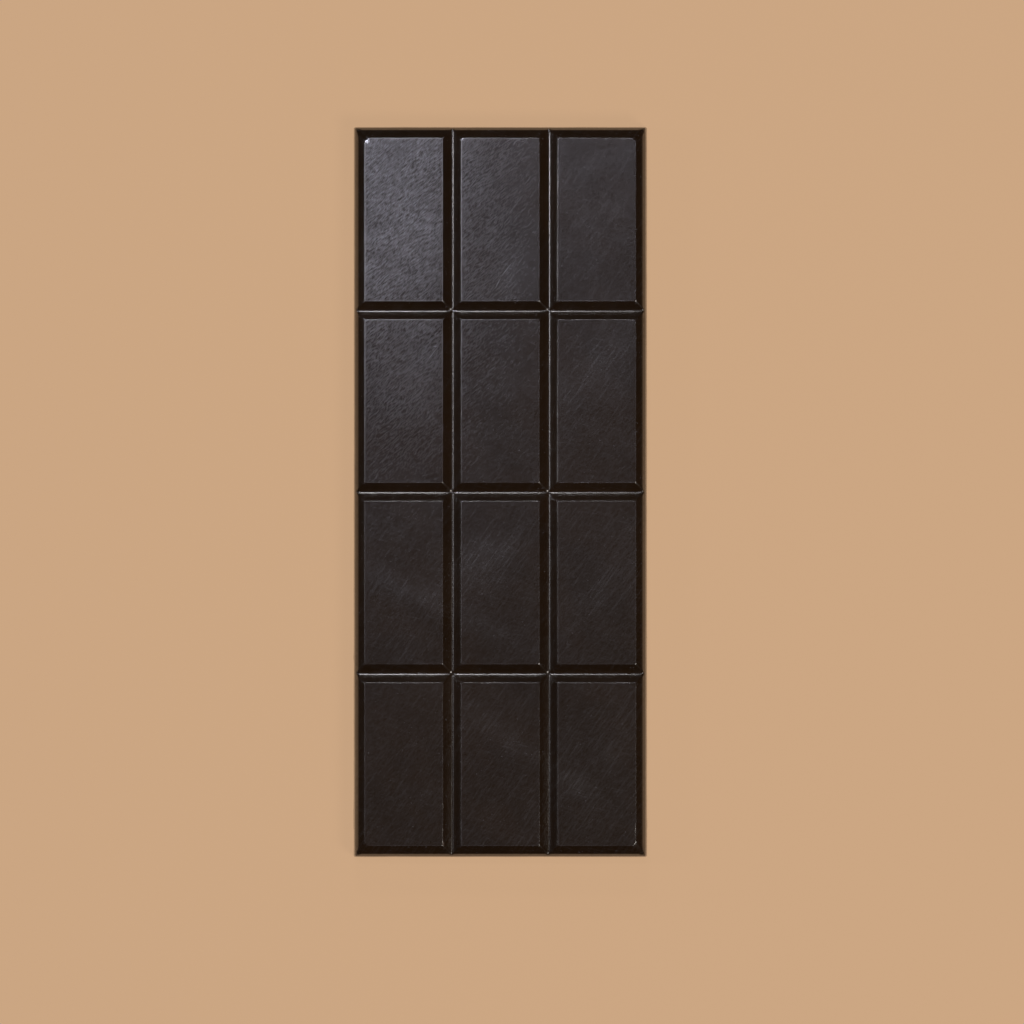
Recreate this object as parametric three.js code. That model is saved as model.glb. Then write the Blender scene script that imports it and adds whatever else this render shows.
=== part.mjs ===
// A moulded bar of dark chocolate: twelve raised blocks, three across and four along, parted by
// grooves and set on one plate, all of one piece.
// Millimetres, Z up, the length along Y. The origin is the middle of the flat back that it rests on.

import * as THREE from 'three';
import { mergeVertices } from 'three/addons/utils/BufferGeometryUtils.js';

// The whole bar
const barWidth = 60.32;
const barLength = 150;
const barHeight = 8;

// How the blocks are laid out, from groove middle to groove middle
const columns = 3;
const rows = 4;
const columnPitch = 19.76;
const rowPitch = 37.14;

// The wall of a block: half a hyperbola in section, round in the groove's floor and almost
// straight from there up to the arris under the face
const wallAngle = 40 * Math.PI / 180;
const floorRadius = 0.3;
const arrisOffset = 1.88;
const arrisRadius = 0.15;
const blockCornerRadius = 0.3;
const barCornerRadius = 1.1;

// The plate's edge: how far its side leans in from the back up to a bevel, and that bevel. The
// plate's own corners are sharp.
const sideDraft = 0.35;
const bevelDrop = 1.2;
const bevelAngle = 66 * Math.PI / 180;
const sharpCorners = [0, 0, 0, 0];

// How finely the curves are divided
const cornerSteps = 4;
const wallSteps = 7;
const arrisSteps = 3;

const chocolateColour = 0x28211c;
const chocolateRoughness = 0.42;

const wallSlope = Math.tan(wallAngle);
const floorReach = floorRadius * wallSlope;
const arrisAngle = Math.atan(wallSlope * arrisOffset / Math.hypot(arrisOffset, floorReach));
const faceInset = arrisOffset + arrisRadius * Math.tan(arrisAngle / 2);
const plateHeight = barHeight - wallRise(arrisOffset);
const bevelFoot = plateHeight - bevelDrop;

// How high a wall is above the groove's floor, at an inset from the groove's middle
function wallRise(inset) {
  return wallSlope * (Math.hypot(inset, floorReach) - floorReach);
}

// The inset at which a wall has reached an angle
function wallInset(angle) {
  const slope = Math.tan(angle);
  return floorReach * slope / Math.sqrt(wallSlope ** 2 - slope ** 2);
}

// Half of the plate's width or length at a height: its side leans in, and its bevel leans in more
function plateHalf(size, height) {
  const lean = sideDraft * Math.min(height / bevelFoot, 1);
  const bevel = Math.max(height - bevelFoot, 0) / Math.tan(bevelAngle);
  return size / 2 - lean - bevel;
}

// Points of a quarter circle that rounds one corner of an outline. A radius of nothing puts them
// all on the corner itself.
function cornerArc(cornerX, cornerY, radius, quarter) {
  const middle = (quarter + 0.5) * Math.PI / 2;
  const centreX = cornerX - Math.sign(Math.cos(middle)) * radius;
  const centreY = cornerY - Math.sign(Math.sin(middle)) * radius;
  return Array.from({ length: cornerSteps + 1 }, (_, step) => {
    const angle = (quarter + step / cornerSteps) * Math.PI / 2;
    return [centreX + radius * Math.cos(angle), centreY + radius * Math.sin(angle)];
  });
}

// A rectangle with rounded corners, level at one height and anticlockwise from above. The stops
// are further points on its straight sides.
function ring({ east, north, west, south }, height, radii, xStops = [], yStops = []) {
  const [northEast, northWest, southWest, southEast] = radii;
  const plan = [
    ...yStops.map((y) => [east, y]),
    ...cornerArc(east, north, northEast, 0),
    ...xStops.toReversed().map((x) => [x, north]),
    ...cornerArc(west, north, northWest, 1),
    ...yStops.toReversed().map((y) => [west, y]),
    ...cornerArc(west, south, southWest, 2),
    ...xStops.map((x) => [x, south]),
    ...cornerArc(east, south, southEast, 3),
  ];
  return plan.map(([x, y]) => new THREE.Vector3(x, y, height));
}

// The strip of surface between a ring and the next one in from it
function band(outer, inner) {
  return outer.flatMap((corner, index) => {
    const next = (index + 1) % outer.length;
    return [
      [corner, outer[next], inner[next]],
      [corner, inner[next], inner[index]],
    ];
  });
}

// The strips between each ring of a list and the one after it
function bands(rings) {
  return rings.slice(1).flatMap((inner, index) => band(rings[index], inner));
}

// A flat face that fills a ring, seen from above
function cap(edge) {
  const middle = new THREE.Vector3();
  edge.forEach((point) => middle.add(point));
  middle.divideScalar(edge.length);
  return edge.map((point, index) => [middle, point, edge[(index + 1) % edge.length]]);
}

// The section of a block's wall, as inset from the groove's middle and height: up the hyperbola,
// then round the arris to the face
function wallSection() {
  const wall = Array.from({ length: wallSteps }, (_, step) => {
    const inset = wallInset(arrisAngle * step / wallSteps);
    return [inset, plateHeight + wallRise(inset)];
  });
  const arris = Array.from({ length: arrisSteps + 1 }, (_, step) => {
    const angle = arrisAngle * (1 - step / arrisSteps);
    const inset = faceInset - arrisRadius * Math.sin(angle);
    return [inset, barHeight - arrisRadius * (1 - Math.cos(angle))];
  });
  return [...wall, ...arris];
}

// Which corners of a block are corners of the bar: north east, north west, south west, south east
function barCorners(column, row) {
  const east = column === columns - 1;
  const west = column === 0;
  const north = row === rows - 1;
  const south = row === 0;
  return [north && east, north && west, south && west, south && east];
}

// The middle of the groove before a column or row, and past the last one the bar's outside
function grooveMiddle(index, count, pitch) {
  return (index - count / 2) * pitch;
}

// One block with its share of the grooves round it, out to the middle of each groove. On the
// bar's outside its walls run into the plate's bevel.
function block(column, row) {
  const radii = barCorners(column, row)
    .map((outside) => (outside ? barCornerRadius : blockCornerRadius));
  const rings = wallSection().map(([inset, height]) => {
    const halfX = plateHalf(barWidth, height);
    const halfY = plateHalf(barLength, height);
    const sides = {
      east: Math.min(grooveMiddle(column + 1, columns, columnPitch) - inset, halfX),
      north: Math.min(grooveMiddle(row + 1, rows, rowPitch) - inset, halfY),
      west: Math.max(grooveMiddle(column, columns, columnPitch) + inset, -halfX),
      south: Math.max(grooveMiddle(row, rows, rowPitch) + inset, -halfY),
    };
    return ring(sides, height, inset > 0 ? radii : sharpCorners);
  });
  return [...bands(rings), ...cap(rings.at(-1))];
}

// The middles of the grooves that cross one axis of the bar
function grooveMiddles(count, pitch) {
  return Array.from({ length: count - 1 }, (_, index) => grooveMiddle(index + 1, count, pitch));
}

// The plate below the blocks: its bevel, its leaning side and its back
function plate() {
  const xStops = grooveMiddles(columns, columnPitch);
  const yStops = grooveMiddles(rows, rowPitch);
  const rings = [0, bevelFoot, plateHeight].map((height) => {
    const halfX = plateHalf(barWidth, height);
    const halfY = plateHalf(barLength, height);
    const sides = { east: halfX, north: halfY, west: -halfX, south: -halfY };
    return ring(sides, height, sharpCorners, xStops, yStops);
  });
  const back = cap(rings[0]).map(([a, b, c]) => [a, c, b]);
  return [...bands(rings), ...back];
}

// A closed solid from its triangles. Those that have shrunk to a line on a sharp corner go first.
function solid(triangles) {
  const full = triangles.filter(([a, b, c]) => {
    const shortest = Math.min(a.distanceTo(b), b.distanceTo(c), c.distanceTo(a));
    return shortest > 1e-6;
  });
  const geometry = new THREE.BufferGeometry().setFromPoints(full.flat());
  return mergeVertices(geometry, 1e-4);
}

const blocks = [];
for (let row = 0; row < rows; row += 1) {
  for (let column = 0; column < columns; column += 1) {
    blocks.push(...block(column, row));
  }
}

const chocolate = new THREE.MeshStandardMaterial({
  color: chocolateColour,
  roughness: chocolateRoughness,
  metalness: 0,
});

const barMesh = new THREE.Mesh(solid([...blocks, ...plate()]), chocolate);
barMesh.name = 'chocolate_bar';
barMesh.geometry.computeVertexNormals();

const chocolateBar = new THREE.Group();
chocolateBar.add(barMesh);

export default chocolateBar;
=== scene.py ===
# %% [markdown]
# # A bar of dark chocolate
#
# The real bar is cast in a plastic mould. The mould gives it glossy blocks and narrow grooves with
# sloping walls, and the open side of the mould leaves the flat back that it lies on.
#
# The frame holds the bar's exact solid. This lesson dresses it: a finer skin with worn edges and
# small chips, and a chocolate finish with the scuffs that bars rub into each other in a box. Last
# come the floor, the lamps and the camera.

# %% Load the frame
import math

import bmesh
import bpy
import numpy as np
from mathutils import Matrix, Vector, noise


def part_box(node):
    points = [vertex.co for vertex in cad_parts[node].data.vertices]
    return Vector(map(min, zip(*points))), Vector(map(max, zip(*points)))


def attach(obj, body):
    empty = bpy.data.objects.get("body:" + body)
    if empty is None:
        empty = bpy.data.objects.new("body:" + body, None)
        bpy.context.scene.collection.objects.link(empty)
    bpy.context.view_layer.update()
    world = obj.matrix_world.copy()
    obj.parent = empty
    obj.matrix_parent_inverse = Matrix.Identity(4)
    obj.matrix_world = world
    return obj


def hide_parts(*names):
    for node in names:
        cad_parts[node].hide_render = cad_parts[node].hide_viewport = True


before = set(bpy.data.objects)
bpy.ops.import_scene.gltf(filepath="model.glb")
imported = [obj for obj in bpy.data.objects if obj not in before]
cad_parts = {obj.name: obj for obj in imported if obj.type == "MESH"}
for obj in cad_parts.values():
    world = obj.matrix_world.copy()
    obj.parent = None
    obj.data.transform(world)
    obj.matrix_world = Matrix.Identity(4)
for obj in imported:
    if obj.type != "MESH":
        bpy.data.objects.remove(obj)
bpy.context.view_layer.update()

# %% [markdown]
# ## The measures of the bar
#
# Everything is drawn in millimetres and turned into metres at the end. The outer size comes from
# the frame, and the grid of blocks is laid out from its middle.

# %% Measures
MM = 0.001
COLUMNS = 3
ROWS = 4
COLUMN_PITCH = 19.76
ROW_PITCH = 37.14

low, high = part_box("chocolate_bar")
bar_width = (high[0] - low[0]) / MM
bar_length = (high[1] - low[1]) / MM
bar_height = (high[2] - low[2]) / MM
print(f"bar {bar_width:.2f} x {bar_length:.2f} x {bar_height:.2f} mm")
print(f"one block every {COLUMN_PITCH} mm across and {ROW_PITCH} mm along")

# %% [markdown]
# ## The section of a groove
#
# In the photo a groove is dark on both walls and has one thin bright line at its bottom. Walls at
# 40 degrees do that: seen from above they mirror the dark room low at the side. The floor between
# them is a small round, and one strip of it has just the slope that mirrors a lamp as a line. One
# curve does both: a hyperbola is round in the middle and runs out into two straight legs.
#
# In the round, points are spread evenly over the slope, because a curve looks smooth when its
# facets all turn by the same angle. A small round, the arris, joins the wall to the face.

# %% Section from the groove's middle to the face
WALL_ANGLE = math.radians(40)
FLOOR_RADIUS = 0.3
ARRIS_OFFSET = 1.88
ARRIS_RADIUS = 0.15
FLOOR_STEPS = 7
WALL_STEPS = 4
ARRIS_STEPS = 4
STRAIGHT_SHARE = 0.86

wall_slope = math.tan(WALL_ANGLE)
floor_reach = FLOOR_RADIUS * wall_slope
arris_angle = math.atan(wall_slope * ARRIS_OFFSET / math.hypot(ARRIS_OFFSET, floor_reach))
face_inset = ARRIS_OFFSET + ARRIS_RADIUS * math.tan(arris_angle / 2)


def wall_rise(inset):
    """Height of a wall above the groove's floor."""
    return wall_slope * (math.hypot(inset, floor_reach) - floor_reach)


def wall_inset(angle):
    """The inset at which a wall has reached an angle."""
    slope = math.tan(angle)
    return floor_reach * slope / math.sqrt(wall_slope**2 - slope**2)


plate_height = bar_height - wall_rise(ARRIS_OFFSET)


def wall_section():
    """Rows of inset from the groove's middle and height, from the groove's floor to the face."""
    straight = STRAIGHT_SHARE * arris_angle
    insets = [wall_inset(angle) for angle in np.linspace(0, straight, FLOOR_STEPS, endpoint=False)]
    wall_top = face_inset - ARRIS_RADIUS * math.sin(arris_angle)
    insets += list(np.linspace(wall_inset(straight), wall_top, WALL_STEPS, endpoint=False))
    section = [(inset, plate_height + wall_rise(inset)) for inset in insets]
    for slope in np.linspace(arris_angle, 0, ARRIS_STEPS + 1):
        inset = face_inset - ARRIS_RADIUS * math.sin(slope)
        section.append((inset, bar_height - ARRIS_RADIUS * (1 - math.cos(slope))))
    return section


print(f"grooves {bar_height - plate_height:.2f} mm deep, faces start {face_inset:.2f} mm in")

# %% [markdown]
# ## The plate's edge
#
# The mould is open at the back, so its side leans to let the bar drop out. Above the side is a
# narrow bevel. Both are steep, so from above they mirror the floor as a brown line round the bar.
# The blocks' outer walls run straight into the bevel.

# %% Size of the plate at a height
SIDE_LEAN = 0.35
BEVEL_DROP = 1.2
BEVEL_ANGLE = math.radians(66)
bevel_foot = plate_height - BEVEL_DROP


def plate_half(size, height):
    """Half of the plate's width or length at a height."""
    lean = SIDE_LEAN * min(height / bevel_foot, 1)
    bevel = max(height - bevel_foot, 0) / math.tan(BEVEL_ANGLE)
    return size / 2 - lean - bevel


print(f"the bevel runs from {bevel_foot:.2f} mm up to the foot of the walls")

# %% [markdown]
# ## Rings
#
# A block could be cut out of a slab with Boolean tools, but their long thin triangles shade badly.
# Here each block is wrapped in rings, like the contour lines of a hill. Every ring has the same
# number of points, so neighbours join up in clean four-sided faces that follow the edge.
#
# At a corner the ring is a quarter circle. Where the ring has to meet a plain grid, the same
# number of points is bent round a square corner instead.

# %% Points of a ring
CORNER_STEPS = 8
BLOCK_ACROSS = 32
BLOCK_ALONG = 64
SQUARE_LEG = 1.2


def quarter_turn(quarter):
    """The matrix that turns a row of plan points by a number of quarter turns."""
    angle = quarter * math.pi / 2
    return np.array([[math.cos(angle), math.sin(angle)], [-math.sin(angle), math.cos(angle)]])


def round_corner(radius, quarter):
    """A quarter circle beside a corner at the origin, turned to one of the four corners."""
    turn = np.linspace(0, math.pi / 2, CORNER_STEPS + 1)
    arc = radius * np.stack([np.cos(turn) - 1, np.sin(turn) - 1], axis=1)
    return arc @ quarter_turn(quarter)


def square_corner(leg, quarter):
    """The same number of points bent round a square corner."""
    share = np.linspace(-1, 1, CORNER_STEPS + 1)
    bend = -leg * np.stack([np.maximum(share, 0), np.maximum(-share, 0)], axis=1)
    return bend @ quarter_turn(quarter)


def rounded(radii):
    return [round_corner(radius, quarter) for quarter, radius in enumerate(radii)]


def squared(leg):
    return [square_corner(leg, quarter) for quarter in range(4)]


def spread(knots, steps):
    """Places from the first knot to the last, with even steps between each two knots."""
    return np.interp(np.arange(steps * (len(knots) - 1) + 1) / steps, range(len(knots)), knots)


def ring(box, corners, breaks=((), ())):
    """An anticlockwise outline: four corners, and sides in even steps between their breaks."""
    west, east, south, north = box
    places = (east, north), (west, north), (west, south), (east, south)
    bent = [corner + place for corner, place in zip(corners, places)]
    outline = []
    for quarter in range(4):
        axis = quarter % 2
        start = bent[quarter][-1]
        end = bent[(quarter + 1) % 4][0]
        stops = sorted(breaks[axis], reverse=quarter < 2)
        run = spread([start[axis], *stops, end[axis]], (BLOCK_ACROSS, BLOCK_ALONG)[axis])[1:-1]
        side = np.tile(start, (len(run), 1))
        side[:, axis] = run
        outline += [bent[quarter], side]
    return np.concatenate(outline)


sample = ring((-5, 5, -9, 9), rounded([1, 1, 1, 1]))
print("points in one ring of a block:", len(sample))

# %% [markdown]
# ## The skin
#
# The skin is a plain list of points and a list of faces. Pieces are laid down side by side, each
# with its own copy of the points on a shared edge, and one weld at the end joins the copies. That
# is simpler to write than keeping track of who owns which point.

# %% Laying down points and faces


class Skin:
    """The bar's surface while it is being laid down, in millimetres."""

    def __init__(self):
        self.points = []
        self.faces = []

    def row(self, plan, height):
        """Adds plan points at one height and returns their numbers."""
        start = len(self.points)
        self.points += [(x, y, height) for x, y in plan]
        return range(start, len(self.points))

    def bridge(self, outer, inner):
        """Joins two rings of the same length."""
        for now in range(len(outer)):
            after = (now + 1) % len(outer)
            self.faces.append((outer[now], outer[after], inner[after], inner[now]))

    def sheet(self, xs, ys, height, facing_up=True):
        """A flat grid of faces."""
        rows = [self.row([(x, y) for x in xs], height) for y in ys]
        for south, north in zip(rows, rows[1:]):
            for west in range(len(xs) - 1):
                corners = (south[west], south[west + 1], north[west + 1], north[west])
                self.faces.append(corners if facing_up else corners[::-1])


def square_stops(low, high, breaks, steps, leg_steps):
    """The stops of a grid that ends on a squared ring: short steps in its legs, then even ones."""
    leg = np.linspace(0, SQUARE_LEG, leg_steps + 1)
    middle = spread([low + SQUARE_LEG, *breaks, high - SQUARE_LEG], steps)
    return np.concatenate([low + leg[:-1], middle, high - leg[-2::-1]])


skin = Skin()
print("stops across a face:", len(square_stops(-8, 8, (), BLOCK_ACROSS, CORNER_STEPS // 2)))

# %% [markdown]
# ## Twelve blocks
#
# Each block is laid from the middle of its grooves inwards, so that it meets its neighbours on
# plain straight lines. On the bar's outside its rings stop at the bevel. The four blocks at the
# corners of the bar have one corner that is rounder than the rest, as the mould has.

# %% Blocks
BLOCK_CORNER = 0.3
BAR_CORNER = 1.1
PLATE_CORNER = 0.4
FACE_RINGS = (0.12, 0.45)
FACE_GRID_INSET = 1.1


def corner_radii(column, row, inset):
    """Radii of a block's corners: north east, north west, south west, south east."""
    east = column == COLUMNS - 1
    west = column == 0
    north = row == ROWS - 1
    south = row == 0
    outside = (north and east, north and west, south and west, south and east)
    bar_radius, block_radius = (BAR_CORNER, BLOCK_CORNER) if inset > 0 else (PLATE_CORNER, 0)
    return [bar_radius if corner else block_radius for corner in outside]


def groove_middle(index, count, pitch):
    """The middle of the groove before a column or row."""
    return (index - count / 2) * pitch


def block_box(column, row, inset, height):
    """West, east, south and north side of a block's ring."""
    half_x = plate_half(bar_width, height)
    half_y = plate_half(bar_length, height)
    west = max(groove_middle(column, COLUMNS, COLUMN_PITCH) + inset, -half_x)
    east = min(groove_middle(column + 1, COLUMNS, COLUMN_PITCH) - inset, half_x)
    south = max(groove_middle(row, ROWS, ROW_PITCH) + inset, -half_y)
    north = min(groove_middle(row + 1, ROWS, ROW_PITCH) - inset, half_y)
    return west, east, south, north


def lay_block(column, row):
    """One block, from the middle of the grooves round it to a grid on its face."""
    section = wall_section() + [(face_inset + more, bar_height) for more in FACE_RINGS]
    rings = []
    for inset, height in section:
        box = block_box(column, row, inset, height)
        rings.append(skin.row(ring(box, rounded(corner_radii(column, row, inset))), height))
    box = block_box(column, row, face_inset + FACE_GRID_INSET, bar_height)
    rings.append(skin.row(ring(box, squared(SQUARE_LEG)), bar_height))
    for outer, inner in zip(rings, rings[1:]):
        skin.bridge(outer, inner)
    west, east, south, north = box
    xs = square_stops(west, east, (), BLOCK_ACROSS, CORNER_STEPS // 2)
    ys = square_stops(south, north, (), BLOCK_ALONG, CORNER_STEPS // 2)
    skin.sheet(xs, ys, bar_height)


for row in range(ROWS):
    for column in range(COLUMNS):
        lay_block(column, row)
print("points after twelve blocks:", len(skin.points))

# %% [markdown]
# ## The plate: bevel, leaning side and back
#
# The plate's edge is laid in the same way, downwards: the bevel, a soft crease, the side and a
# tight round into the back. The back needs far fewer points than the edge, so one row of wide
# faces steps down from four points to one before the back's own grid begins.

# %% Plate
CREASE = 0.12
BACK_ROUND = 0.15
ROUND_STEPS = 3
SIDE_STEPS = 4
BACK_INSET = 0.5
COARSE = 4
column_breaks = [groove_middle(index, COLUMNS, COLUMN_PITCH) for index in range(1, COLUMNS)]
row_breaks = [groove_middle(index, ROWS, ROW_PITCH) for index in range(1, ROWS)]


def plate_ring(inwards, height, corners):
    """A ring of the plate, some way inwards of its side at a height."""
    half_x = plate_half(bar_width, height) - inwards
    half_y = plate_half(bar_length, height) - inwards
    return ring((-half_x, half_x, -half_y, half_y), corners, (column_breaks, row_breaks))


def lay_plate():
    """The edge of the bar and its back."""
    heights = [plate_height, (plate_height + bevel_foot) / 2, bevel_foot + CREASE]
    heights += list(np.linspace(bevel_foot - CREASE, BACK_ROUND, SIDE_STEPS + 1))
    section = [(0, height) for height in heights]
    for turn in np.linspace(0, math.pi / 2, ROUND_STEPS + 1)[1:]:
        section.append((BACK_ROUND * (1 - math.cos(turn)), BACK_ROUND * (1 - math.sin(turn))))
    corners = rounded([PLATE_CORNER] * 4)
    rings = [skin.row(plate_ring(inwards, height, corners), height) for inwards, height in section]
    for inner, outer in zip(rings, rings[1:]):
        skin.bridge(outer, inner)
    fine = rings[-1]
    coarse = skin.row(plate_ring(BACK_INSET, 0, squared(SQUARE_LEG))[::COARSE], 0)
    for now in range(len(coarse)):
        after = (now + 1) % len(coarse)
        run = [fine[(now * COARSE + step) % len(fine)] for step in range(COARSE, -1, -1)]
        skin.faces.append((*run, coarse[now], coarse[after]))
    legs = CORNER_STEPS // 2 // COARSE
    half_x = bar_width / 2 - BACK_INSET
    half_y = bar_length / 2 - BACK_INSET
    xs = square_stops(-half_x, half_x, column_breaks, BLOCK_ACROSS // COARSE, legs)
    ys = square_stops(-half_y, half_y, row_breaks, BLOCK_ALONG // COARSE, legs)
    skin.sheet(xs, ys, 0, facing_up=False)


lay_plate()
print("points with the plate:", len(skin.points), "faces:", len(skin.faces))

# %% [markdown]
# ## The weld
#
# Points that lie on each other become one. Where a ring was shrunk onto a sharp corner, its faces
# turn into triangles or vanish in the same step.

# %% Weld the skin
WELD = 0.0005


def weld(points, faces):
    """A mesh in millimetres whose doubled points are joined."""
    mesh = bpy.data.meshes.new("chocolate_bar_skin")
    mesh.from_pydata(points, [], faces)
    drawing = bmesh.new()
    drawing.from_mesh(mesh)
    bmesh.ops.remove_doubles(drawing, verts=drawing.verts, dist=WELD)
    open_edges = sum(not edge.is_manifold for edge in drawing.edges)
    drawing.to_mesh(mesh)
    drawing.free()
    print("points after the weld:", len(mesh.vertices), "open edges:", open_edges)
    return mesh


skin_mesh = weld(skin.points, skin.faces)
points = np.zeros(len(skin_mesh.vertices) * 3)
skin_mesh.vertices.foreach_get("co", points)
points = points.reshape(-1, 3)

# %% [markdown]
# ## Where a point lies
#
# What happens to a point depends on how far it is from the middle of the grooves beside it. That
# is worked out once, for all points together, with numpy: a whole column of numbers at a time is a
# hundred times quicker than a Python loop over the points.

# %% Insets of every point


def inset_along(axis, count, pitch):
    """Distance from the nearest groove middle along one axis, and the way to the block's middle."""
    place = points[:, axis]
    cell = np.clip(np.floor(place / pitch + count / 2), 0, count - 1)
    middle = (cell + 0.5 - count / 2) * pitch
    return pitch / 2 - np.abs(place - middle), np.sign(middle - place), cell, place - middle


inset_x, way_x, cell_x, off_x = inset_along(0, COLUMNS, COLUMN_PITCH)
inset_y, way_y, cell_y, off_y = inset_along(1, ROWS, ROW_PITCH)
inset = np.minimum(inset_x, inset_y)
from_edge_x = bar_width / 2 - np.abs(points[:, 0])
from_edge_y = bar_length / 2 - np.abs(points[:, 1])
on_top = points[:, 2] > bevel_foot


def field(size, seed):
    """Smooth random heights between -1 and 1, with hills about as wide as size in millimetres."""
    shift = Vector((17.3 * seed, 5.1 * seed, 9.7 * seed))
    return np.array([noise.noise(Vector(point) / size + shift) for point in points])


def near(distance, width):
    """1 at no distance, falling smoothly to nothing over about twice the width."""
    return np.exp(-((distance / width) ** 2))


print(f"points on the top: {np.count_nonzero(on_top)} of {len(points)}")

# %% [markdown]
# ## Unevenness
#
# A mould is exact, but chocolate shrinks, rubs and melts a little. The arrises waver by a few
# hundredths of a millimetre, and the floors of the grooves rise and sink. These are tiny moves,
# yet a gloss shows a tilt of a tenth of a degree.
#
# The cross grooves are a little shallower than the long ones. Where they meet, their floors dip,
# which breaks their bright lines at each crossing as in the photo.

# %% Waver the arrises and the floors
ARRIS_WAVER = 0.03
ARRIS_DROP = 0.02
ARRIS_REACH = 0.3
ARRIS_MIDDLE = 0.12
PULL_REACH = 2.2
OUTER_FADE = 0.9
FLOOR_REACH = 0.55
FLOOR_WAVER = 0.006
CROSS_FLOOR_REACH = 1.2
CROSS_FLOOR_RISE = 0.06
CROSS_DIP = 0.8

pull = np.stack([way_x * near(inset_x, PULL_REACH), way_y * near(inset_y, PULL_REACH)], axis=1)
pull /= np.linalg.norm(pull, axis=1, keepdims=True) + 1e-9
slow = field(3.1, 1)
quick = field(0.9, 2)
at_arris = near(inset - face_inset + ARRIS_MIDDLE, ARRIS_REACH)
edge_fade = 1 - np.maximum(near(from_edge_x, OUTER_FADE), near(from_edge_y, OUTER_FADE))
at_floor = near(inset, FLOOR_REACH) * on_top * edge_fade
waver = at_arris * ARRIS_WAVER * (slow + 0.6 * quick)
points[:, :2] += pull * waver[:, None]
points[:, 2] -= at_arris * ARRIS_DROP * np.clip(slow + quick, 0, 1)
points[:, 2] += at_floor * FLOOR_WAVER * (field(4.3, 3) + 0.5 * field(1.1, 4))
from_long_groove = np.abs(np.abs(points[:, 0]) - COLUMN_PITCH / 2)
between_rows = np.abs(points[:, 1]) < ROW_PITCH * (ROWS / 2 - 0.5)
cross_floor = near(inset_y, CROSS_FLOOR_REACH) * between_rows
cross_floor *= 1 - near(from_long_groove, CROSS_DIP)
points[:, 2] += cross_floor * on_top * edge_fade * CROSS_FLOOR_RISE
print(f"arrises waver by up to {abs(waver).max():.3f} mm")

# %% [markdown]
# ## Worn corners
#
# In the photo two face corners at the upper left shine like small stars. They are worn down to a
# slight slope that turns the light to the camera. A shallow cone, cut into the face round the
# corner, has every slope that a rounded, rubbed corner has, and needs one line of sums.

# %% Worn corners
# Each corner: its block's column and row, the slope and the reach
WORN_CORNERS = (
    (0, 3, 0.060, 1.05),
    (1, 3, 0.073, 0.50),
)
near_worn_corner = np.zeros(len(points))

for column, row, slope, reach in WORN_CORNERS:
    corner_x = groove_middle(column, COLUMNS, COLUMN_PITCH) + face_inset
    corner_y = groove_middle(row + 1, ROWS, ROW_PITCH) - face_inset
    from_corner = np.hypot(points[:, 0] - corner_x, points[:, 1] - corner_y)
    points[:, 2] -= slope * np.clip(reach - from_corner, 0, None) * on_top
    near_worn_corner = np.maximum(near_worn_corner, near(from_corner, reach))
print("corners that are worn off:", len(WORN_CORNERS))

# %% [markdown]
# ## Faces out of level
#
# Each face gets a tilt of its own from a seeded draw, so that the lesson comes out the same each
# time, and a shallow swell. Only faces move, and only downwards, so the bar keeps its height.

# %% Tilt and swell the faces
FACE_TILT = 0.0012
FACE_SWELL = 0.006
FACE_BLEND = 0.3

draw = np.random.default_rng(12)
tilts = draw.uniform(-FACE_TILT, FACE_TILT, (COLUMNS, ROWS, 2))
tilt = tilts[cell_x.astype(int), cell_y.astype(int)]
on_face = np.clip((inset - face_inset) / FACE_BLEND + 1, 0, 1) * on_top
slant = off_x * tilt[:, 0] + off_y * tilt[:, 1]
lean_room = FACE_TILT * (COLUMN_PITCH + ROW_PITCH) / 2
swell = FACE_SWELL * (1 + field(8.0, 5))
points[:, 2] -= on_face * (lean_room - slant + swell)
print(f"faces drop by {lean_room - abs(slant).max():.3f} to {lean_room + abs(slant).max():.3f} mm")

# %% [markdown]
# ## The edge of the plate
#
# The outline of a cast bar is never a ruled line. It wavers, and here and there a crumb of flash
# has stayed on where the mould was scraped.

# %% Waver the outline
EDGE_WAVER = 0.03
EDGE_REACH = 0.7
# Each crumb of flash: x, y, half its length
FLASH = ((-30.0, -65.5, 0.5), (-30.0, -67.9, 0.9), (-30.0, -34.0, 0.5), (30.0, -68.2, 0.7))
FLASH_OUT = 0.12
FLASH_REACH = 1.5
FLASH_HEIGHT = 2.5

edge_shift = -EDGE_WAVER * (1.5 + field(5.0, 6) + 0.6 * field(1.3, 7))
for flash_x, flash_y, half_length in FLASH:
    beside = near(points[:, 0] - flash_x, FLASH_REACH)
    beside *= near(points[:, 1] - flash_y, half_length)
    edge_shift += FLASH_OUT * beside * near(points[:, 2], FLASH_HEIGHT)
edge_shift = np.minimum(edge_shift, 0)
points[:, 0] += np.sign(points[:, 0]) * near(from_edge_x, EDGE_REACH) * edge_shift
points[:, 1] += np.sign(points[:, 1]) * near(from_edge_y, EDGE_REACH) * edge_shift
print(f"the outline stays up to {-edge_shift.min():.3f} mm inside the solid")

# %% [markdown]
# ## Chips and nicks
#
# Where bars knock together, an arris loses a sliver. Each chip is a cut by a tilted plane that
# comes up at both ends, so it leaves a small facet with sharp borders. How much a point was cut is
# kept in a list called broken, because fresh chocolate looks paler and duller than a moulded skin.

# %% Cut the chips
CHIP_REACH = 1.1
CHIP_STEEPNESS = 1.9
CHIP_GRAIN = 0.35
BROKEN_FROM = 0.04
broken = np.zeros(len(points))


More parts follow.
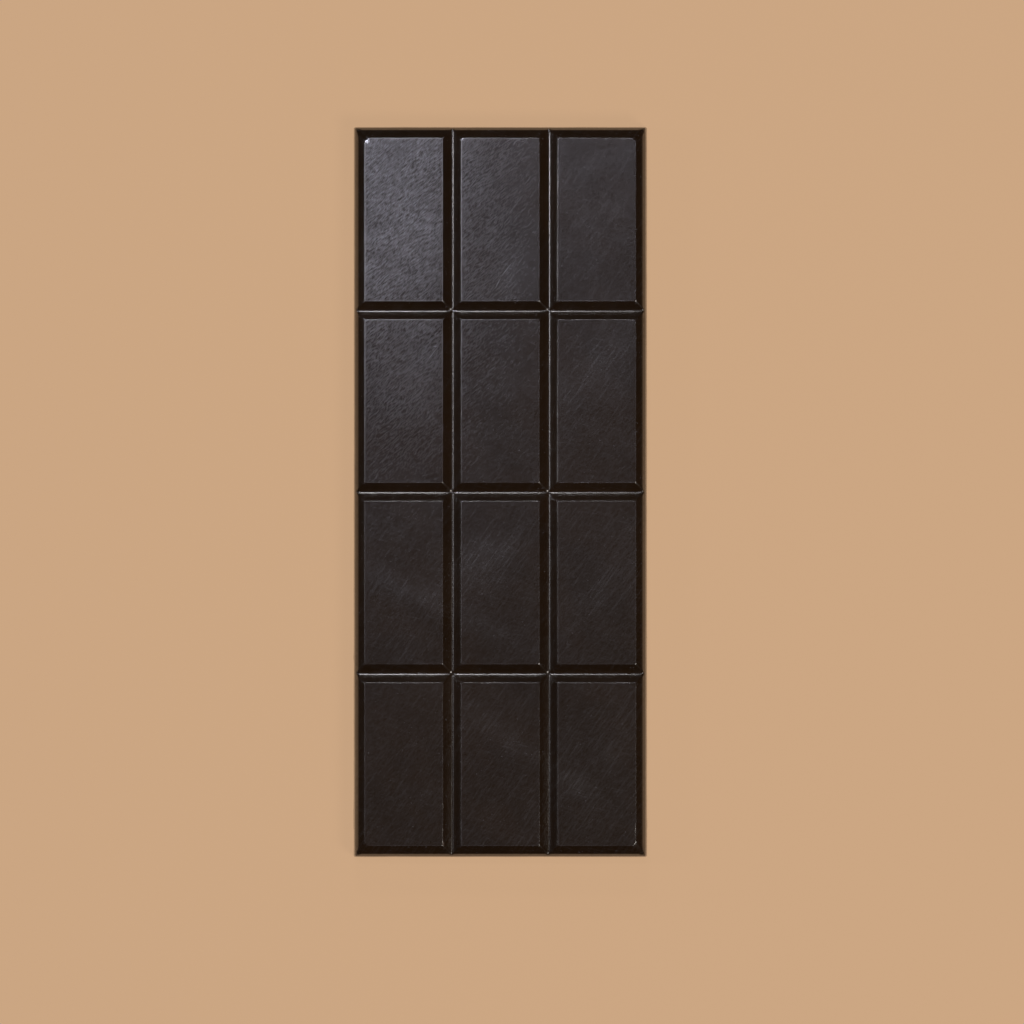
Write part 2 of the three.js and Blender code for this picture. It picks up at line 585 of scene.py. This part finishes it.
def chip(place, facing, length, depth, roughness=0.03):
    """Shaves an arris at a place, given as its corner point, the way it faces and its length."""
    facing = np.array(facing) / np.linalg.norm(facing)
    along = np.array([-facing[1], facing[0], 0])
    along /= np.linalg.norm(along)
    close = np.flatnonzero(np.linalg.norm(points - place, axis=1) < length / 2 + CHIP_REACH)
    from_place = points[close] - place
    run = from_place @ along
    beside = np.linalg.norm(from_place - run[:, None] * along, axis=1) < CHIP_REACH
    cut = depth * (1 - (2 * run / length) ** 2)
    grain = [noise.noise(Vector(point) / CHIP_GRAIN) for point in points[close]]
    over = from_place @ facing + cut + roughness * np.array(grain)
    over *= beside & (abs(run) < length / 2)
    over = np.maximum(over, 0)
    points[close] -= over[:, None] * facing
    broken[close] = np.maximum(broken[close], np.clip(over / BROKEN_FROM - 1, 0, 1))


print(f"a cut deeper than {BROKEN_FROM} mm starts to look broken")

# %% [markdown]
# ## Where the chips are
#
# The large chips are at the places that the photo shows. A chip's place on its side is a share from
# -1 at one end to 1 at the other, and in the way out of a side the 0 stands for the axis that the
# share runs along. The small nicks are strewn by a seeded draw.

# %% Chips and nicks
SIDES = {"east": (1, 0), "west": (-1, 0), "north": (0, 1), "south": (0, -1)}


def arris_place(column, row, side, share):
    """A point of a block's upper edge and the way it faces, by side and by share of its length."""
    way_out = SIDES[side]
    half_x = COLUMN_PITCH / 2 - ARRIS_OFFSET
    half_y = ROW_PITCH / 2 - ARRIS_OFFSET
    x = groove_middle(column + 0.5, COLUMNS, COLUMN_PITCH) + half_x * (way_out[0] or share)
    y = groove_middle(row + 0.5, ROWS, ROW_PITCH) + half_y * (way_out[1] or share)
    return np.array([x, y, bar_height]), (*way_out, CHIP_STEEPNESS)


SMALL_NICKS = 60
# Each chip: its block's column and row, its side and its share of that side, length, depth
CHIPS = (
    (2, 3, "west", 0.43, 4.6, 0.045),
    (2, 3, "west", 0.20, 3.0, 0.025),
    (0, 0, "east", -0.85, 3.4, 0.10),
    (0, 0, "east", -0.97, 1.4, 0.14),
    (0, 0, "south", -0.80, 2.2, 0.08),
    (2, 0, "east", -0.82, 5.0, 0.10),
    (2, 0, "south", 0.55, 6.0, 0.08),
    (1, 0, "south", 0.10, 4.0, 0.06),
)
for column, row, side, share, length, depth in CHIPS:
    place, facing = arris_place(column, row, side, share)
    chip(place, facing, length, depth)
for _ in range(SMALL_NICKS):
    column = draw.integers(COLUMNS)
    row = draw.integers(ROWS)
    side = list(SIDES)[draw.integers(4)]
    place, facing = arris_place(column, row, side, draw.uniform(-0.97, 0.97))
    chip(place, facing, draw.uniform(0.5, 1.6), draw.uniform(0.005, 0.03), roughness=0.01)
print("points that a chip has laid bare:", np.count_nonzero(broken))

# %% [markdown]
# ## Rubbed patches
#
# Bars slide over each other, so their faces are rubbed in soft patches and stripes. A rubbed patch
# is a place and a direction, and it fades to all sides. The sum of the patches is stored on the
# mesh, and the finish reads it to make the gloss duller there.

# %% Rubbed patches
# Each patch: x, y, half its width, half its length, its lean in degrees, its strength
RUBS = (
    (-4.2, -13.9, 5.0, 9.0, 35, 1.0),
    (-19.5, 50.0, 9.0, 14.0, 50, 0.5),
    (2.0, 44.0, 4.0, 8.0, 55, 0.7),
    (-14.5, -22.0, 2.2, 22.0, -25, 0.7),
    (4.0, -52.0, 2.4, 22.0, -35, 0.7),
    (-17.0, 24.0, 6.0, 10.0, 40, 0.5),
    (21.0, 26.0, 5.0, 14.0, 50, 0.5),
    (22.0, -18.0, 6.0, 12.0, 45, 0.4),
    (20.0, -55.0, 5.0, 14.0, 50, 0.4),
)
RUBBED_CLOUDS = 0.25
RUBBED_EVERYWHERE = 0.15


def rub(x, y, half_width, half_length, angle, strength):
    """A soft stripe on the faces, its length leaning the given angle from across the bar."""
    turn = math.radians(angle)
    from_x = points[:, 0] - x
    from_y = points[:, 1] - y
    run = from_x * math.cos(turn) + from_y * math.sin(turn)
    beside = from_y * math.cos(turn) - from_x * math.sin(turn)
    return strength * near(run, half_length) * near(beside, half_width)


rubbed = sum(rub(*patch) for patch in RUBS)
rubbed = np.clip(rubbed + RUBBED_CLOUDS * field(6.0, 8) + RUBBED_EVERYWHERE, 0, 1)
print(f"rubbed: {rubbed.mean():.2f} on average")

# %% [markdown]
# ## Scratched faces and painted sheen
#
# The upper left faces are covered with pale hairline scratches, which get rarer towards the far
# corner.
# They are partly real scratches and partly painted sheen: the key lamp's sheen lies on these faces,
# and the pale lines are densest where it falls. The hairlines themselves are far finer than the
# mesh, so the finish draws them. The mesh only says how dense they are at each point: a wide soft
# patch with some clouds in it. A worn corner is polished, so it has none, and neither have the
# walls.

# %% How scratched each point is, with painted sheen
# The patch of pale hairlines sits where the key lamp's sheen falls, so it is partly painted sheen
SCRATCHED_AND_SHEEN_PLACE = (-21.0, 60.0)
SCRATCHED_AND_SHEEN_REACH = (17.0, 38.0)
SCRATCHED_AND_SHEEN_EVERYWHERE = 0.05
SCRATCHED_AND_SHEEN_MOST = 0.93
SCRATCHED_AND_SHEEN_CLOUDS = 0.35
FACE_BORDER = 0.05

scratched_and_sheen = near(points[:, 0] - SCRATCHED_AND_SHEEN_PLACE[0], SCRATCHED_AND_SHEEN_REACH[0])
scratched_and_sheen *= near(points[:, 1] - SCRATCHED_AND_SHEEN_PLACE[1], SCRATCHED_AND_SHEEN_REACH[1])
scratched_and_sheen *= SCRATCHED_AND_SHEEN_MOST * (1 + SCRATCHED_AND_SHEEN_CLOUDS * field(5.0, 9))
scratched_and_sheen = np.clip(SCRATCHED_AND_SHEEN_EVERYWHERE + scratched_and_sheen, 0, 1) * (1 - near_worn_corner)
on_face_only = np.clip((inset - face_inset) / FACE_BORDER + 1, 0, 1) * on_top
print(f"scratched: {scratched_and_sheen[on_face_only > 0].mean():.2f} on average")

# %% [markdown]
# ## Worn arrises with a painted highlight
#
# Where a face is scratched, its arris is rubbed pale too, most of all on the two sides that look up
# and to the left. That pale band is partly wear and partly a painted highlight, since those sides
# face the lamps. The band is narrow and ends before the wall's top: a value on a point spreads
# over every mesh face beside it, and the next one down would carry the pale colour onto the wall.

# %% How worn each arris is, with its painted highlight
WORN_REACH = 0.09
WORN_MIDDLE = 0.02
WORN_LIMIT = 0.04
WORN_AWAY = 0.5
WORN_EVERYWHERE = 0.05
WORN_BY_SCRATCHES = 1.6
WORN_UNEVENNESS = 0.6

wall_top = face_inset - ARRIS_RADIUS * math.sin(arris_angle)
# The sides that look up and to the left face the lamps: their pale band is partly a painted
# highlight
upper_left = np.where(inset_x < inset_y, way_x > 0, way_y < 0)
worn_and_highlit = near(inset - face_inset + WORN_MIDDLE, WORN_REACH) * (1 + WORN_UNEVENNESS * quick)
worn_and_highlit *= WORN_AWAY + (1 - WORN_AWAY) * upper_left
worn_and_highlit *= np.clip(WORN_BY_SCRATCHES * scratched_and_sheen + WORN_EVERYWHERE, 0, 1) * on_top
worn_and_highlit *= inset > wall_top + WORN_LIMIT
scratched_and_sheen *= on_face_only
print("points on worn arrises:", np.count_nonzero(worn_and_highlit > 0.1))

# %% [markdown]
# ## The finished piece
#
# The points go back into the mesh in metres. The piece rides on the bar's body and stands for the
# exact solid, which stays hidden behind it for the physics.

# %% Make the piece
points[:, 2] = np.clip(points[:, 2], 0, bar_height)
skin_mesh.vertices.foreach_set("co", (points * MM).ravel())
skin_mesh.shade_smooth()
# The pale hairline and arris layers stored here are partly painted sheen and painted highlights
wear_and_sheen = {"broken": broken, "rubbed": rubbed, "scratched_and_sheen": scratched_and_sheen, "worn_and_highlit": worn_and_highlit}
for name, values in wear_and_sheen.items():
    layer = skin_mesh.attributes.new(name, "FLOAT", "POINT")
    layer.data.foreach_set("value", values)
skin_mesh.update()

bar = bpy.data.objects.new("chocolate_bar_skin", skin_mesh)
bpy.context.scene.collection.objects.link(bar)
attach(bar, "root")
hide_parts("chocolate_bar")
triangles = sum(len(face.vertices) - 2 for face in skin_mesh.polygons)
print("triangles in the bar:", triangles)

# %% [markdown]
# ## Sums with sockets
#
# A shader is a set of nodes, but its maths reads better as plain sums. The class below wraps the
# output of a node, so that 1 - mask or a * b adds the Math node for it. Colours go through Mix
# nodes, because a Math node would turn them grey.

# %% Socket sums


class Value:
    """The output of a node, which can take part in sums."""

    def __init__(self, finish, socket):
        self.finish = finish
        self.socket = socket

    def maths(self, operation, first, second):
        return self.finish.node("ShaderNodeMath", {"operation": operation}, {0: first, 1: second})

    def __add__(self, other):
        return self.maths("ADD", self, other)

    def __sub__(self, other):
        return self.maths("SUBTRACT", self, other)

    def __rsub__(self, other):
        return self.maths("SUBTRACT", other, self)

    def __mul__(self, other):
        return self.maths("MULTIPLY", self, other)

    __radd__ = __add__
    __rmul__ = __mul__


class Finish:
    """A material whose nodes are added one by one."""

    def __init__(self, name):
        self.material = bpy.data.materials.new(name)
        self.material.use_nodes = True
        self.tree = self.material.node_tree
        self.tree.nodes.clear()

    def node(self, kind, settings, inputs, output=0):
        """Adds a node: first its settings, then the values or links of its sockets."""
        node = self.tree.nodes.new(kind)
        for setting, value in settings.items():
            setattr(node, setting, value)
        for socket, value in inputs.items():
            if isinstance(value, Value):
                self.tree.links.new(value.socket, node.inputs[socket])
            else:
                node.inputs[socket].default_value = value
        return Value(self, node.outputs[output]) if node.outputs else None

    def blend(self, mask, first, second):
        """A colour between two colours."""
        settings = {"data_type": "RGBA", "clamp_factor": True}
        return self.node("ShaderNodeMix", settings, {0: mask, 6: first, 7: second}, output=2)

    def step(self, value, low, high):
        """0 below low, 1 above high and a soft change between them."""
        settings = {"interpolation_type": "SMOOTHSTEP"}
        limits = {0: value, 1: low, 2: high, 3: 0.0, 4: 1.0}
        return self.node("ShaderNodeMapRange", settings, limits)

    def attribute(self, name):
        return self.node("ShaderNodeAttribute", {"attribute_name": name}, {}, output=2)

    def grain(self, place, size, angle=0, detail=2, seed=0):
        """Noise with grains of a size in millimetres, at an angle. The seed moves it elsewhere."""
        turned = {
            0: place,
            1: (seed * 7.1, seed * 3.3, seed * 1.7),
            2: (0, 0, math.radians(angle)),
            3: (*size, max(size)),
        }
        laid = self.node("ShaderNodeMapping", {"vector_type": "TEXTURE"}, turned)
        return self.node("ShaderNodeTexNoise", {}, {"Vector": laid, "Scale": 1.0, "Detail": detail})

    def stroke(self, place, x, y, half_length, half_width, angle):
        """A single stroke on a face: 1 in its middle, fading to nothing at its rim."""
        laid = {
            0: place,
            1: (x, y, bar_height),
            2: (0, 0, math.radians(angle)),
            3: (half_length, half_width, bar_height),
        }
        mapped = self.node("ShaderNodeMapping", {"vector_type": "TEXTURE"}, laid)
        shape = {"gradient_type": "SPHERICAL"}
        return self.node("ShaderNodeTexGradient", shape, {"Vector": mapped}, output=1)


print("sums on sockets are ready")

# %% [markdown]
# ## Dark chocolate
#
# Dark chocolate is almost black, with a warm brown that shows where no gloss covers it. Its gloss
# comes from the mould, and bars that slide over each other in their box cover it with fine marks
# that nearly all lean one way. The finish is made in three steps: first the marks, each a pattern
# between 0 and 1, then the brown under them, and last the gloss.
#
# All marks are noise that is stretched along the way it was rubbed. That gives thousands of lines
# that no one has to draw. Only the few single scratches that catch the eye are placed one by one.

# %% Marks in the skin
RUB_LEAN = 55
SCUFF_SIZE = (5.0, 0.25)
CROSS_SCUFF_SIZE = (3.5, 0.2)
CROSS_SCUFF_LEAN = RUB_LEAN - 70
HAIRLINE_SIZE = (1.10, 0.12)
HAIRLINE_LEAN = 38
CROSS_HAIRLINE_SIZE = (0.70, 0.12)
CROSS_HAIRLINE_LEAN = 60
SPECK_SIZE = (0.35, 0.35)
# Where each pattern starts to show in its noise, and where it is full
SCUFF_EDGES = (0.50, 0.72)
CROSS_SCUFF_EDGES = (0.52, 0.75)
SPECK_EDGES = (0.74, 0.80)
BROKEN_EDGES = (0.2, 0.7)
CROSS_SCUFF_STRENGTH = 0.7
UNRUBBED_MARKS = 0.35
RUBBED_MARKS = 0.65

chocolate = Finish("dark_chocolate")
metres = chocolate.node("ShaderNodeTexCoord", {}, {}, output=3)
to_millimetres = {0: metres, "Scale": 1 / MM}
place = chocolate.node("ShaderNodeVectorMath", {"operation": "SCALE"}, to_millimetres)

scuff_noise = chocolate.grain(place, SCUFF_SIZE, RUB_LEAN, detail=4)
scuffs = chocolate.step(scuff_noise, *SCUFF_EDGES)
cross_noise = chocolate.grain(place, CROSS_SCUFF_SIZE, CROSS_SCUFF_LEAN, detail=4, seed=1)
cross_scuffs = chocolate.step(cross_noise, *CROSS_SCUFF_EDGES)
specks = chocolate.step(chocolate.grain(place, SPECK_SIZE, detail=1, seed=2), *SPECK_EDGES)
fine = chocolate.grain(place, HAIRLINE_SIZE, HAIRLINE_LEAN, detail=0, seed=3)
cross_fine = chocolate.grain(place, CROSS_HAIRLINE_SIZE, CROSS_HAIRLINE_LEAN, detail=0, seed=6)

rubbed_mask = chocolate.attribute("rubbed")
scratched_and_sheen_mask = chocolate.attribute("scratched_and_sheen")
worn_and_highlit_mask = chocolate.attribute("worn_and_highlit")
broken_mask = chocolate.step(chocolate.attribute("broken"), *BROKEN_EDGES)
marks = scuffs + CROSS_SCUFF_STRENGTH * cross_scuffs
marks = marks * (UNRUBBED_MARKS + RUBBED_MARKS * rubbed_mask)
print("nodes for the marks:", len(chocolate.tree.nodes))

# %% [markdown]
# ## The brown and its painted sheen
#
# A scratch in dark chocolate is pale, because its rough bottom throws light back in all directions.
# So pale marks lie over the deep brown: the hairlines of the scratched faces, the worn arrises,
# tiny specks, faint scuffs everywhere and the single strokes. Their pale colour has the cool blue
# of the key lamp, and the hairlines and arrises are densest on the upper left where the lamps'
# light falls, so they are partly painted sheen and painted arris highlights. Broken chocolate is a
# lighter brown and covers them all.

# %% Brown of the chocolate
CHOCOLATE_BROWN = (0.0098, 0.0047, 0.0018, 1)
CHOCOLATE_DEEP = (0.0080, 0.0038, 0.0014, 1)
CHOCOLATE_BROKEN = (0.026, 0.013, 0.008, 1)
# Cool blue like the key lamp's sheen: partly the scratches' own paleness, partly painted sheen
CHOCOLATE_PALE_AND_SHEEN = (0.100, 0.099, 0.114, 1)
CLOUD_SIZE = (9, 14)
CLOUD_EDGES = (0.35, 0.65)
HAIRLINE_EDGES = (0.37, 0.75)
HAIRLINE_SHARE = 0.45
SPECK_SHARE = 0.5
SCUFF_SHARE = 0.035
# Each stroke: x, y, half its length, half its width, its lean in degrees
STROKES = (
    (1.2, 45.4, 1.9, 0.10, 52),
    (-0.5, 42.7, 1.5, 0.10, 63),
    (-13.9, 28.2, 2.6, 0.10, 53),
    (-13.3, 29.8, 0.6, 0.14, 5),
)

clouds = chocolate.step(chocolate.grain(place, CLOUD_SIZE, RUB_LEAN), *CLOUD_EDGES)
hairlines = chocolate.step(fine, *HAIRLINE_EDGES) + chocolate.step(cross_fine, *HAIRLINE_EDGES)
# Painted sheen and highlights: the hairlines follow the sheen on the upper left faces, the arrises
# the sides facing the lamps
pale_marks_and_sheen = HAIRLINE_SHARE * hairlines * scratched_and_sheen_mask + worn_and_highlit_mask
pale_marks_and_sheen = pale_marks_and_sheen + SPECK_SHARE * specks + SCUFF_SHARE * (scuffs + cross_scuffs)
for stroke in STROKES:
    pale_marks_and_sheen = pale_marks_and_sheen + chocolate.stroke(place, *stroke)

skin_brown = chocolate.blend(clouds, CHOCOLATE_DEEP, CHOCOLATE_BROWN)
brown_with_marks_and_sheen = chocolate.blend(pale_marks_and_sheen, skin_brown, CHOCOLATE_PALE_AND_SHEEN)
brown = chocolate.blend(broken_mask, brown_with_marks_and_sheen, CHOCOLATE_BROKEN)
print("single strokes placed by hand:", len(STROKES))

# %% [markdown]
# ## The gloss
#
# The roughness of the skin sets how wide a lamp spreads in it. Marks, rubbed patches and specks are
# duller than the mould gloss, and broken chocolate has almost none. A bump adds the relief that is
# too small for the mesh: soft waves, the hairlines' depth and the crumb of the chips. Waves and
# hairlines are only a few thousandths of a millimetre deep, because a gloss shows even those.

# %% Gloss and relief
MOULD_ROUGHNESS = 0.178
BRUSHED_ROUGHNESS = 0.045
SCRATCHED_ROUGHNESS = 0.045
RUBBED_ROUGHNESS = 0.045
MARK_ROUGHNESS = 0.05
SPECK_ROUGHNESS = 0.04
BROKEN_ROUGHNESS = 0.3
WAVE_SIZE = (2.4, 1.2)
WAVE_DEPTH = 0.0020
GRAIN_DEPTH = 0.0019
SCRATCHED_DEPTH = 0.0012
MARK_DEPTH = 0.0018
CRUMB_SIZE = (0.25, 0.25)
CRUMB_DEPTH = 0.06
CHOCOLATE_IOR = 1.5

brushed = BRUSHED_ROUGHNESS + SCRATCHED_ROUGHNESS * scratched_and_sheen_mask
brushed = (fine + cross_fine - 1.0) * brushed
dulled = RUBBED_ROUGHNESS * rubbed_mask + MARK_ROUGHNESS * marks
dulled = dulled + SPECK_ROUGHNESS * specks + BROKEN_ROUGHNESS * broken_mask
waves = chocolate.grain(place, WAVE_SIZE, RUB_LEAN, detail=2, seed=4)
crumbs = chocolate.grain(place, CRUMB_SIZE, detail=3, seed=5)
grain_depth = GRAIN_DEPTH + SCRATCHED_DEPTH * scratched_and_sheen_mask
height = WAVE_DEPTH * waves + grain_depth * (fine + cross_fine) + MARK_DEPTH * marks
height = height + CRUMB_DEPTH * broken_mask * crumbs
relief = {"Strength": 1.0, "Distance": MM, "Height": height}
shader = chocolate.node("ShaderNodeBsdfPrincipled", {}, {
    "Base Color": brown,
    "Roughness": MOULD_ROUGHNESS + dulled + brushed,
    "Normal": chocolate.node("ShaderNodeBump", {}, relief),
    "IOR": CHOCOLATE_IOR,
})
chocolate.node("ShaderNodeOutputMaterial", {}, {"Surface": shader})
skin_mesh.materials.append(chocolate.material)
print("nodes in the chocolate finish:", len(chocolate.tree.nodes))

# %% [markdown]
# ## Floor
#
# The bar lies on a large sheet of matt paper, lit so evenly that the bar hardly casts a shadow.
# Most of the floor's brightness is therefore a glow of its own, and only a little is light that
# falls on it. Its size matters for the bar too, because the steep sides of the plate mirror it.

# %% Floor
FLOOR_SIDE = 6.0
FLOOR_TAN = (0.587, 0.375, 0.222, 1)
FLOOR_GLOW = 0.92


def floor():
    """A square sheet of paper that glows a little."""
    half = FLOOR_SIDE / 2
    corners = [(-half, -half, 0), (half, -half, 0), (half, half, 0), (-half, half, 0)]
    mesh = bpy.data.meshes.new("floor")
    mesh.from_pydata(corners, [], [(0, 1, 2, 3)])
    finish = Finish("floor_paper")
    shader = finish.node("ShaderNodeBsdfPrincipled", {}, {
        "Base Color": tuple((1 - FLOOR_GLOW) * part for part in FLOOR_TAN[:3]) + (1,),
        "Roughness": 0.9,
        "Specular IOR Level": 0.0,
        "Emission Color": FLOOR_TAN,
        "Emission Strength": FLOOR_GLOW,
    })
    finish.node("ShaderNodeOutputMaterial", {}, {"Surface": shader})
    mesh.materials.append(finish.material)
    return bpy.data.objects.new("floor", mesh)


ground = floor()
bpy.context.scene.collection.objects.link(ground)
print("floor side in metres:", FLOOR_SIDE)

# %% [markdown]
# ## Lamps
#
# A gloss shows what it mirrors, so each lamp has a job of its own. The key hangs close to the line
# that mirrors the camera, a little to the upper left, and the wide rim of its reflection gives the
# faces their cool sheen. A dimmer lamp to its right carries the sheen over to the last column.
#
# Three small lamps hang low at the sides, more than 50 degrees from straight up, where the grooves'
# floors and the arrises mirror them as thin lines: two on the left for the long grooves and one at
# the far end for the cross grooves. From higher up they would also reach the camera by way of both
# walls of a groove, as smears. The fill lights the brown itself, and a dim ceiling evens it out.

# %% Lamps
# Each lamp: its name, its place in metres, its size, its power in watts and its colour
LAMPS = (
    ("key", (-0.14, 0.22, 0.98), (0.05, 0.05), 2.3, (0.82, 0.83, 1.0)),
    ("key_right", (0.08, 0.24, 0.98), (0.05, 0.05), 0.4, (0.88, 0.86, 1.0)),
    ("left", (-0.82, 0.11, 0.57), (0.06, 0.12), 1.75, (0.97, 0.96, 1.0)),
    ("left_low", (-0.82, 0.00, 0.57), (0.12, 0.12), 0.45, (0.97, 0.96, 1.0)),
    ("far", (-0.06, 0.765, 0.643), (0.14, 0.08), 2.7, (1.0, 0.99, 1.0)),
    ("fill", (0.45, -0.35, 0.82), (0.30, 0.30), 9.5, (1.0, 0.94, 0.86)),
    ("ceiling", (0.0, 0.0, 2.3), (0.90, 0.90), 0.15, (1.0, 0.97, 0.95)),
)


def lamp(name, place, size, power, colour):
    """A rectangular soft lamp that faces the bar."""
    light = bpy.data.lights.new(name, "AREA")
    light.shape = "RECTANGLE"
    light.size, light.size_y = size
    light.energy = power
    light.color = colour
    holder = bpy.data.objects.new(name, light)
    holder.location = place
    holder.rotation_euler = (-Vector(place)).to_track_quat("-Z", "Y").to_euler()
    bpy.context.scene.collection.objects.link(holder)
    return holder


for name, place, size, power, colour in LAMPS:
    lamp(name, place, size, power, colour)
print("lamps:", ", ".join(name for name, *_ in LAMPS))

# %% [markdown]
# ## The room
#
# A little even light from all around keeps the walls from going fully black. The plain view
# transform shows colours as they are, so that they can be compared with the photo's.

# %% Room
AMBIENT = 0.018

world = bpy.data.worlds.new("tent")
world.use_nodes = True
world.node_tree.nodes["Background"].inputs["Color"].default_value = (1, 1, 1, 1)
world.node_tree.nodes["Background"].inputs["Strength"].default_value = AMBIENT
bpy.context.scene.world = world
bpy.context.scene.view_settings.view_transform = "Standard"
print("ambient light:", AMBIENT)

# %% [markdown]
# ## Camera
#
# The photo looks straight down with hardly any perspective, so the camera hangs two metres up and
# has a long lens. Its picture is as wide on the floor as the photo's is at the bar's scale, and it
# hangs a few millimetres beside the bar's middle, since the bar isn't quite in the photo's middle.

# %% Camera
CAMERA_HEIGHT = 2.0
PICTURE_WIDTH = 0.2103
SENSOR = 36
CAMERA_PLACE = (0.00239, -0.00410, CAMERA_HEIGHT)

view = bpy.data.cameras.new("camera")
view.sensor_width = SENSOR
view.lens = SENSOR * CAMERA_HEIGHT / PICTURE_WIDTH
camera = bpy.data.objects.new("camera", view)
camera.location = CAMERA_PLACE
bpy.context.scene.collection.objects.link(camera)
bpy.context.scene.camera = camera
print(f"lens {view.lens:.1f} mm at {CAMERA_HEIGHT} m")
